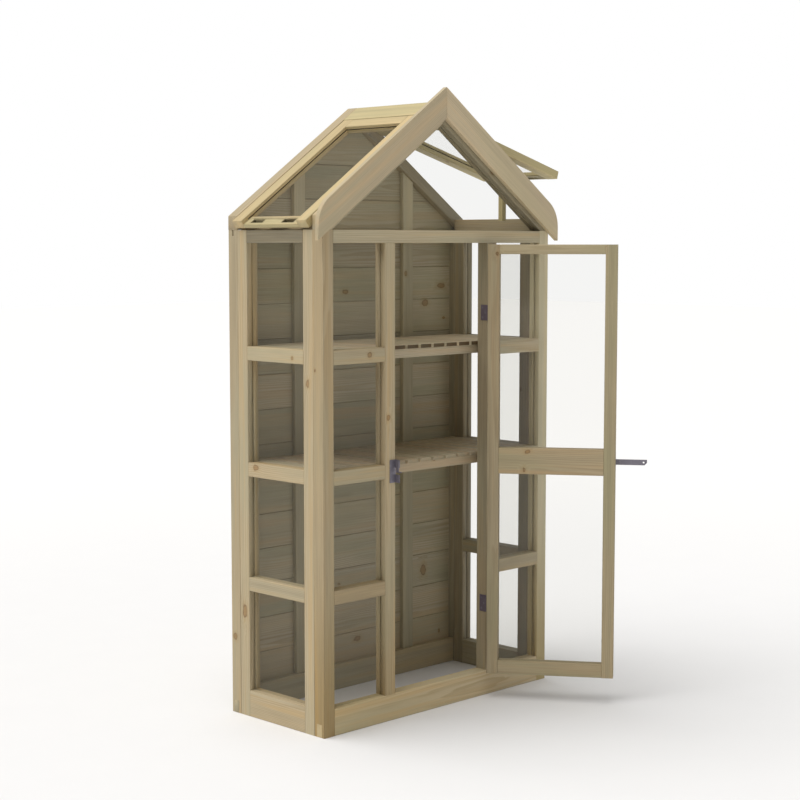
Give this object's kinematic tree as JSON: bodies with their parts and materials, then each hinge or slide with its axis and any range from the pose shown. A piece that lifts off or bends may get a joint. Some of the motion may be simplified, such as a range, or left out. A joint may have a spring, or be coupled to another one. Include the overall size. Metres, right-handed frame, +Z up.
{
  "type": "mini greenhouse",
  "caption": "Tall narrow timber greenhouse with glazed front, sides and gable, boarded back, slatted shelves, hinged latching door and a pitched roof with an opening sash.",
  "frame": {"origin": "on the ground under the middle of the front frame, on the underside of its bottom rail", "axes": "+Z up, +Y from the front to the boarded back, +X to the right when facing the front"},
  "size_m": [1.1691, 0.8717, 1.9867],
  "materials": {
    "frame_wood": "planed, dry",
    "barge_wood": "planed, dry",
    "roof_wood": "planed, dry",
    "board_wood": "planed, dry",
    "door_wood": "planed, dry",
    "shelf_wood": "planed, dry",
    "glass": "clear, polished",
    "hinge_metal": "dark satin",
    "latch_metal": "dark satin"
  },
  "bodies": {
    "frame": {"front_left_post": "frame_wood", "front_right_post": "frame_wood", "left_mullion": "frame_wood", "right_mullion": "frame_wood", "front_top_rail": "frame_wood", "front_bottom_rail": "frame_wood", "left_bay_rails": "frame_wood", "right_bay_rails": "frame_wood", "left_bay_panes": "glass", "right_bay_panes": "glass", "left_side_stiles": "frame_wood", "left_side_rails": "frame_wood", "left_side_panes": "glass", "right_side_stiles": "frame_wood", "right_side_rails": "frame_wood", "right_side_panes": "glass", "rear_posts": "frame_wood", "rear_studs": "frame_wood", "rear_bottom_rail": "frame_wood", "rear_top_rail": "frame_wood", "back_boards": "board_wood", "gable_boards": "board_wood", "gable_studs": "frame_wood", "front_rafters": "frame_wood", "gable_pane": "glass", "rear_rafters": "frame_wood", "left_bargeboard": "barge_wood", "right_bargeboard": "barge_wood", "ridge_strip": "frame_wood", "ridge_boards": "roof_wood", "eaves_plates": "frame_wood", "roof_sash_stiles": "roof_wood", "roof_sash_top_rail": "roof_wood", "roof_sash_bottom_rail": "roof_wood", "roof_sash_pane": "glass", "upper_shelf_bearers": "shelf_wood", "upper_shelf_slats": "shelf_wood", "lower_shelf_bearers": "shelf_wood", "lower_shelf_slats": "shelf_wood", "vent_hinge_bases": "hinge_metal", "jamb_hinges": "hinge_metal", "latch_catch": "latch_metal"},
    "door": {"door_hinge_stile": "door_wood", "door_latch_stile": "door_wood", "door_top_rail": "door_wood", "door_mid_rail": "door_wood", "door_bottom_rail": "door_wood", "door_panes": "glass", "door_hinge_leaves": "hinge_metal", "striker_plate": "latch_metal", "latch_bar": "latch_metal"},
    "vent": {"vent_stiles": "roof_wood", "vent_top_rail": "roof_wood", "vent_bottom_rail": "roof_wood", "vent_pane": "glass", "vent_hinge_leaves": "hinge_metal", "stay_bolt": "hinge_metal"},
    "stay": {"vent_stay": "roof_wood"},
    "lever": {"latch_lever": "latch_metal"}
  },
  "joints": [
    {"name": "door_hinge", "type": "hinge", "parent": "frame", "child": "door", "pos_m": [0.20975, -0.03, 0.7905], "axis": [0, 0, 1], "range_deg": [-125.3, 44.7]},
    {"name": "vent_hinge", "type": "hinge", "parent": "frame", "child": "vent", "pos_m": [0.06432, 0.197, 1.90464], "axis": [0, -1, 0], "range_deg": [-19.3, 15]},
    {"name": "stay_pivot", "type": "hinge", "parent": "vent", "child": "stay", "pos_m": [0.39541, 0.08, 1.78415], "axis": [0, 1, 0], "range_deg": [-8, 100]},
    {"name": "lever_pivot", "type": "hinge", "parent": "frame", "child": "lever", "pos_m": [-0.21605, -0.037, 0.822], "axis": [-1, 0, 0], "range_deg": [0, 80]}
  ]
}
